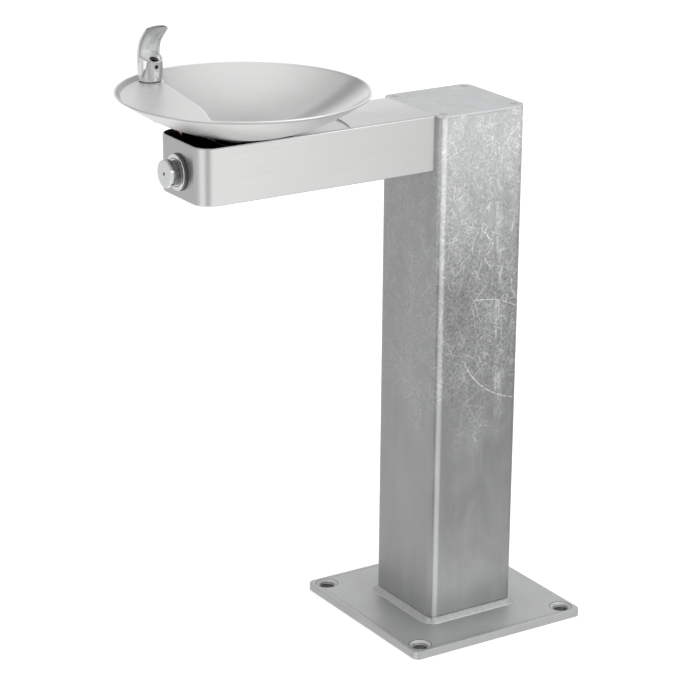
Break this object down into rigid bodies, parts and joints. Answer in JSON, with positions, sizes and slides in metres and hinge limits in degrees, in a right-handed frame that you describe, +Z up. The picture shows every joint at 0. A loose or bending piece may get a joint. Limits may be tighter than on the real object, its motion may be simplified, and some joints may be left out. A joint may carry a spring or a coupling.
{
  "type": "drinking fountain",
  "caption": "Square-post pedestal drinking fountain: bolted base plate, cantilever arm, round dish bowl, hooded bubbler and a front push button.",
  "frame": {"origin": "centre of the post on the floor, in the plane of the base plate's underside", "axes": "+Z up; the arm, bowl and button point along -Y towards the user; +X is the user's right"},
  "size_m": [0.3576, 0.6862, 0.934],
  "materials": {
    "galvanised": "hot-dip galvanised, dull spangle",
    "plate_zinc": "matte galvanised plate",
    "weld_zinc": "galvanised weld bead",
    "cap_zinc": "galvanised sheet",
    "satin_steel": "satin brushed stainless",
    "bowl_satin": "fine satin stainless",
    "chrome": "polished chrome",
    "screw_steel": "plain stainless",
    "inner_steel": "mill finish",
    "brass": "turned brass",
    "tube_steel": "drawn stainless tube",
    "copper": "copper tube",
    "rubber": "black rubber",
    "braid": "braided stainless hose",
    "red_lever": "red dipped lever"
  },
  "bodies": {
    "pedestal": {"base_plate": "plate_zinc", "foot_weld": "weld_zinc", "post": "galvanised", "post_cap": "cap_zinc", "cap_lugs": "inner_steel", "cap_screws": "screw_steel", "access_cover": "cap_zinc", "access_cover_screws": "screw_steel", "pipe_bracket": "inner_steel", "arm_shell": "satin_steel", "arm_bottom_cover": "satin_steel", "arm_cover_screws": "screw_steel", "arm_flange": "inner_steel", "arm_bolts": "screw_steel", "arm_nuts": "screw_steel", "arm_backing_bars": "inner_steel", "bowl_bracket": "satin_steel", "bowl": "bowl_satin", "bowl_studs": "screw_steel", "bowl_nuts": "screw_steel", "bubbler_shelf": "bowl_satin", "drain_fitting": "tube_steel", "drain_grid": "bowl_satin", "grid_screw": "screw_steel", "drain_gasket": "rubber", "drain_locknut": "brass", "slip_nuts": "chrome", "drain_elbow_front": "brass", "drain_tube": "tube_steel", "drain_elbow_rear": "brass", "waste_pipe": "tube_steel", "bubbler_gasket": "rubber", "bubbler_body": "chrome", "bubbler_nozzle": "chrome", "nozzle_screw": "screw_steel", "bubbler_wedge_washer": "brass", "bubbler_locknut": "brass", "bubbler_elbow": "brass", "bubbler_tube": "copper", "tube_nuts": "brass", "button_gasket": "rubber", "button_flange": "chrome", "button_spring": "screw_steel", "valve_cartridge": "brass", "valve_locknut": "brass", "valve_body": "brass", "supply_hose": "braid", "hose_nuts": "brass", "line_strainer": "brass", "stop_valve_body": "brass", "supply_nipple": "brass"},
    "button": {"push_button": "chrome", "valve_stem": "screw_steel", "stem_seal": "rubber"},
    "stop_lever": {"stop_valve_lever": "red_lever", "lever_screw": "screw_steel"},
    "flow_screw": {"flow_adjust_screw": "screw_steel"}
  },
  "joints": [
    {"name": "button_press", "type": "slide", "parent": "pedestal", "child": "button", "axis": [0, 1, 0], "range_m": [0, 0.005], "stiffness_N_per_m": 1500, "springref_m": -0.003, "deforming": ["button_spring"]},
    {"name": "stop_lever_turn", "type": "hinge", "parent": "pedestal", "child": "stop_lever", "pos_m": [0.034, 0.02, 0.081], "axis": [0, -1, 0], "range_deg": [0, 90]},
    {"name": "flow_screw_turn", "type": "hinge", "parent": "pedestal", "child": "flow_screw", "pos_m": [0, -0.41, 0.7558], "axis": [0, 1, 0], "range_deg": [-180, 180]}
  ]
}
